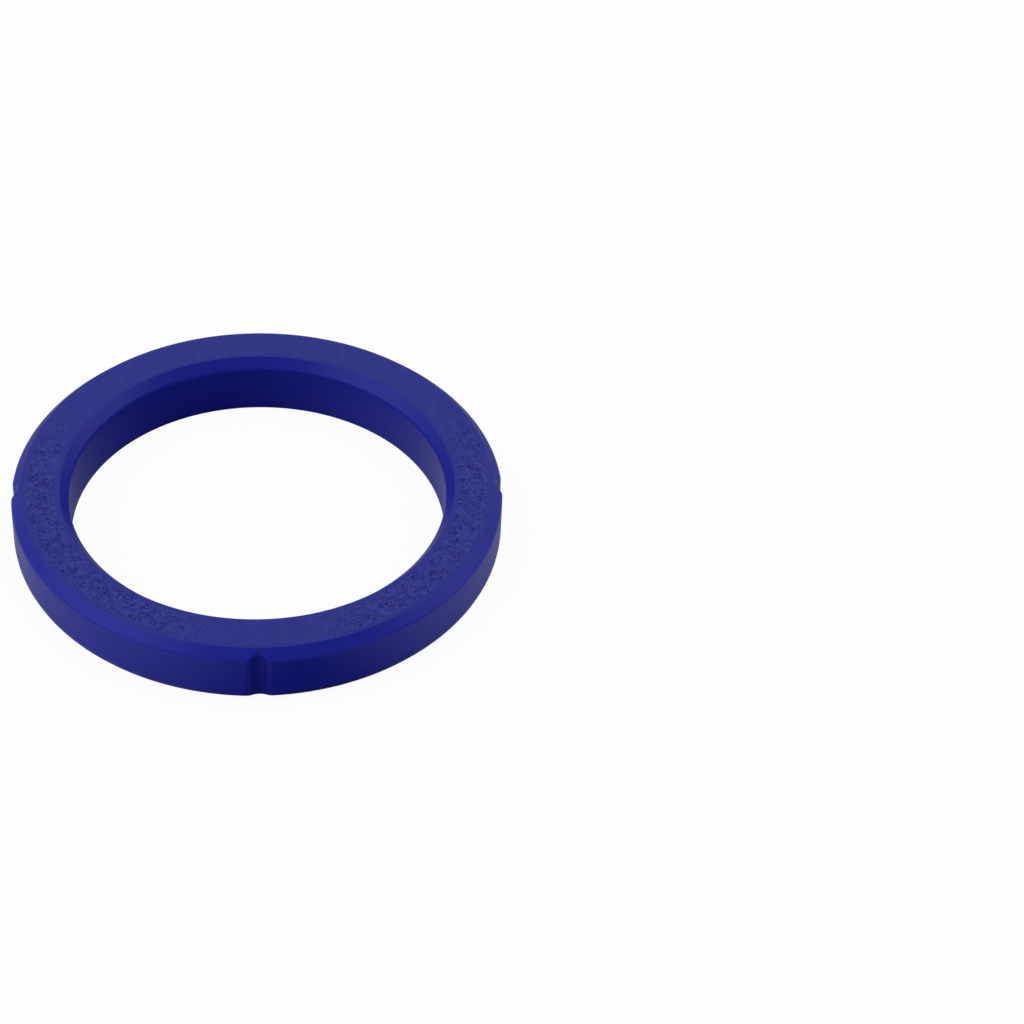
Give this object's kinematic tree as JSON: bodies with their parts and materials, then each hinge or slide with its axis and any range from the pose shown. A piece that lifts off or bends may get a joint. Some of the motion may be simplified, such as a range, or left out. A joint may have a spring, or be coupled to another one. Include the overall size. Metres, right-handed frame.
{
  "type": "group head gasket",
  "caption": "Flat silicone ring gasket with a bevelled, textured working face, a plain bore, and finger notches spaced round the outer wall.",
  "frame": {"origin": "centre of the ring at the plain seat face, which is its lowest plane", "axes": "+Z along the ring's axis from the seat face to the bevelled working face; the notches lie on the X and Y axes"},
  "size_m": [0.0728, 0.0728, 0.0095],
  "materials": {
    "silicone": "matt moulded silicone rubber, with a fine leathery grain on the flat of the working face"
  },
  "bodies": {
    "root": {"gasket": "silicone"}
  },
  "joints": []
}
